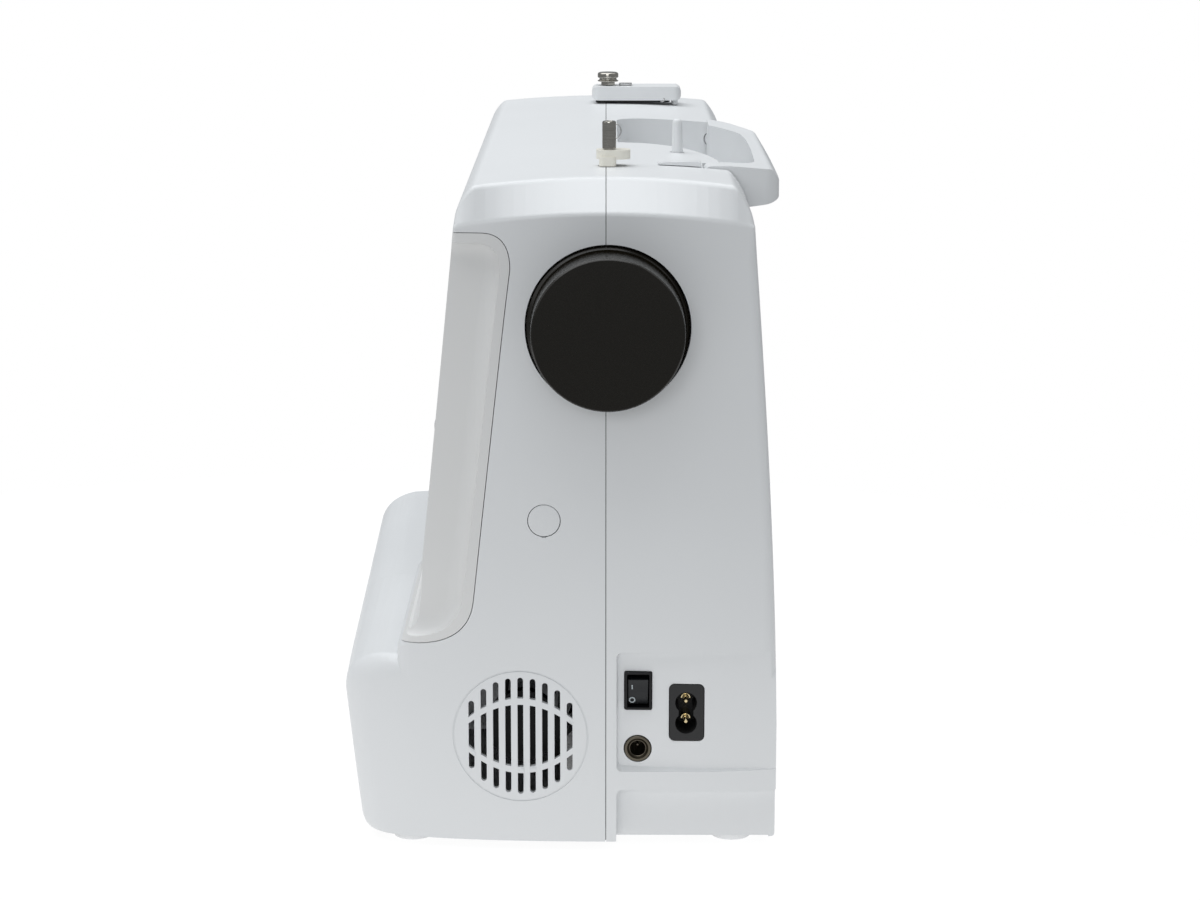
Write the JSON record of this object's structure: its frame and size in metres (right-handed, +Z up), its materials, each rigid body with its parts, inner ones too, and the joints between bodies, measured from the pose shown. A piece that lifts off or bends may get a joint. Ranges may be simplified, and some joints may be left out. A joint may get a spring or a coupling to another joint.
{
  "type": "sewing machine",
  "caption": "White computerised free-arm domestic sewing machine with black handwheel, carry handle, bobbin winder and end power sockets.",
  "frame": {"origin": "under the middle of the whole machine, on the surface that its feet stand on", "axes": "+X towards the handwheel end, -Y towards the operator, +Z up"},
  "size_m": [0.408, 0.1874, 0.2932],
  "materials": {
    "white_shell": "satin moulded white ABS",
    "panel_white": "satin, slightly warmer white",
    "cream_acetal": "smooth cream acetal",
    "grey_plate": "fine texture",
    "clear_lens": "clear polycarbonate",
    "board_green": "solder mask",
    "wheel_black": "satin warm black, moulded",
    "socket_black": "satin black",
    "pin_brass": "plated, polished",
    "bright_chrome": "polished",
    "steel": "fine ground",
    "frame_casting": "as cast",
    "motor_can": "zinc plated can",
    "belt_rubber": "matt",
    "foot_rubber": "matt",
    "key_grey": "satin grey"
  },
  "bodies": {
    "machine_body": {"front_cover": "white_shell", "rear_cover": "white_shell", "face_cover": "white_shell", "free_arm_cover": "white_shell", "base_plate": "grey_plate", "front_panel": "panel_white", "lcd_lens": "clear_lens", "circuit_board": "board_green", "belt_cap": "white_shell", "switch_housing": "socket_black", "inlet_housing": "socket_black", "inlet_pin_lower": "pin_brass", "inlet_pin_upper": "pin_brass", "foot_jack": "socket_black", "thread_cutter": "white_shell", "thread_guide_bar": "white_shell", "pretension_knob": "bright_chrome", "guide_plate": "steel", "needle_plate": "steel", "bobbin_case": "socket_black", "led_lamp": "clear_lens", "main_frame": "frame_casting", "timing_belt": "belt_rubber", "drive_belt": "belt_rubber", "motor": "motor_can", "rubber_foot_1": "foot_rubber", "rubber_foot_2": "foot_rubber", "rubber_foot_3": "foot_rubber", "rubber_foot_4": "foot_rubber"},
    "main_shaft": {"handwheel": "wheel_black", "upper_shaft": "steel"},
    "lower_shaft_body": {"lower_shaft": "steel"},
    "hook_body": {"rotary_hook": "steel"},
    "motor_rotor": {"motor_pulley": "socket_black"},
    "bobbin_body": {"bobbin": "clear_lens"},
    "needle_bar_body": {"needle_bar": "steel", "needle": "bright_chrome", "needle_clamp_screw": "steel"},
    "presser_body": {"presser_bar": "steel", "presser_foot": "steel"},
    "presser_lever_body": {"presser_lever": "key_grey"},
    "take_up_body": {"take_up_lever": "steel"},
    "feed_dog_body": {"feed_dog": "steel"},
    "bobbin_cover_body": {"bobbin_cover": "clear_lens"},
    "accessory_box_body": {"accessory_box": "white_shell"},
    "handle_body": {"carry_handle": "white_shell"},
    "winder_carriage": {"winder_seat": "cream_acetal"},
    "winder_spindle": {"winder_shaft": "bright_chrome", "winder_spring": "steel"},
    "spool_pin_body": {"spool_pin": "white_shell"},
    "rocker_body": {"power_rocker": "socket_black"},
    "tension_dial_body": {"tension_dial": "panel_white"},
    "speed_slider_body": {"speed_slider": "key_grey"},
    "start_stop_body": {"start_stop_button": "key_grey"},
    "reverse_body": {"reverse_button": "key_grey"},
    "needle_position_body": {"needle_position_button": "key_grey"},
    "key_1_body": {"pattern_key_1": "key_grey"},
    "key_2_body": {"pattern_key_2": "key_grey"},
    "key_3_body": {"pattern_key_3": "key_grey"},
    "key_4_body": {"pattern_key_4": "key_grey"}
  },
  "joints": [
    {"name": "handwheel_turn", "type": "hinge", "parent": "machine_body", "child": "main_shaft", "pos_m": [0.184, 0.02088, 0.217], "axis": [1, 0, 0], "continuous": true},
    {"name": "lower_shaft_turn", "type": "hinge", "parent": "machine_body", "child": "lower_shaft_body", "pos_m": [0.084, 0.01208, 0.028], "axis": [1, 0, 0], "continuous": true},
    {"name": "hook_turn", "type": "hinge", "parent": "machine_body", "child": "hook_body", "pos_m": [-0.151, -0.00092, 0.06], "axis": [0, 0, 1], "continuous": true},
    {"name": "motor_turn", "type": "hinge", "parent": "machine_body", "child": "motor_rotor", "pos_m": [0.162, -0.01392, 0.049], "axis": [1, 0, 0], "continuous": true},
    {"name": "bobbin_turn", "type": "hinge", "parent": "machine_body", "child": "bobbin_body", "pos_m": [-0.151, -0.00092, 0.064], "axis": [0, 0, 1], "continuous": true},
    {"name": "needle_bar_stroke", "type": "slide", "parent": "machine_body", "child": "needle_bar_body", "axis": [0, 0, 1], "range_m": [-0.031, 0]},
    {"name": "take_up_swing", "type": "hinge", "parent": "machine_body", "child": "take_up_body", "pos_m": [-0.16, 0.00908, 0.224], "axis": [1, 0, 0], "range_deg": [-38, 24]},
    {"name": "presser_bar_lift", "type": "slide", "parent": "machine_body", "child": "presser_body", "axis": [0, 0, 1], "range_m": [0, 0.006]},
    {"name": "presser_lever_lift", "type": "hinge", "parent": "machine_body", "child": "presser_lever_body", "pos_m": [-0.151, 0.04508, 0.131], "axis": [1, 0, 0], "range_deg": [0, 50]},
    {"name": "feed_dog_drop", "type": "slide", "parent": "machine_body", "child": "feed_dog_body", "axis": [0, 0, 1], "range_m": [-0.0025, 0]},
    {"name": "bobbin_cover_lift", "type": "slide", "parent": "machine_body", "child": "bobbin_cover_body", "axis": [0, 0, 1], "range_m": [0, 0.012]},
    {"name": "accessory_box_slide", "type": "slide", "parent": "machine_body", "child": "accessory_box_body", "axis": [-1, 0, 0], "range_m": [0, 0.22]},
    {"name": "carry_handle_fold", "type": "hinge", "parent": "machine_body", "child": "handle_body", "pos_m": [0.034, 0.07008, 0.265], "axis": [1, 0, 0], "range_deg": [0, 90]},
    {"name": "winder_engage", "type": "slide", "parent": "machine_body", "child": "winder_carriage", "axis": [0, 1, 0], "range_m": [0, 0.003]},
    {"name": "winder_spin", "type": "hinge", "parent": "winder_carriage", "child": "winder_spindle", "pos_m": [0.127, 0.02138, 0.274], "axis": [0, 0, 1], "continuous": true},
    {"name": "spool_pin_retract", "type": "slide", "parent": "machine_body", "child": "spool_pin_body", "axis": [0, 0, 1], "range_m": [-0.011, 0]},
    {"name": "power_rocker_tilt", "type": "hinge", "parent": "machine_body", "child": "rocker_body", "pos_m": [0.177, 0.03323, 0.0675], "axis": [0, -1, 0], "range_deg": [0, 13]},
    {"name": "tension_dial_turn", "type": "hinge", "parent": "machine_body", "child": "tension_dial_body", "pos_m": [-0.128, -0.04392, 0.23], "axis": [0, 1, 0], "range_deg": [-140, 140]},
    {"name": "speed_slider_slide", "type": "slide", "parent": "machine_body", "child": "speed_slider_body", "axis": [1, 0, 0], "range_m": [-0.012, 0.012]},
    {"name": "start_stop_press", "type": "slide", "parent": "machine_body", "child": "start_stop_body", "axis": [0, 1, 0], "range_m": [0, 0.0015], "stiffness_N_per_m": 400},
    {"name": "reverse_press", "type": "slide", "parent": "machine_body", "child": "reverse_body", "axis": [0, 1, 0], "range_m": [0, 0.0015], "stiffness_N_per_m": 400},
    {"name": "needle_position_press", "type": "slide", "parent": "machine_body", "child": "needle_position_body", "axis": [0, 1, 0], "range_m": [0, 0.0015], "stiffness_N_per_m": 400},
    {"name": "pattern_key_1_press", "type": "slide", "parent": "machine_body", "child": "key_1_body", "axis": [0, 1, 0], "range_m": [0, 0.0012], "stiffness_N_per_m": 400},
    {"name": "pattern_key_2_press", "type": "slide", "parent": "machine_body", "child": "key_2_body", "axis": [0, 1, 0], "range_m": [0, 0.0012], "stiffness_N_per_m": 400},
    {"name": "pattern_key_3_press", "type": "slide", "parent": "machine_body", "child": "key_3_body", "axis": [0, 1, 0], "range_m": [0, 0.0012], "stiffness_N_per_m": 400},
    {"name": "pattern_key_4_press", "type": "slide", "parent": "machine_body", "child": "key_4_body", "axis": [0, 1, 0], "range_m": [0, 0.0012], "stiffness_N_per_m": 400}
  ],
  "couplings": [
    {"joint": "lower_shaft_turn", "follows": "handwheel_turn", "ratio": 1},
    {"joint": "hook_turn", "follows": "handwheel_turn", "ratio": 2},
    {"joint": "motor_turn", "follows": "handwheel_turn", "ratio": 3.4},
    {"joint": "presser_lever_lift", "follows": "presser_bar_lift", "rad_per_m": 145}
  ]
}
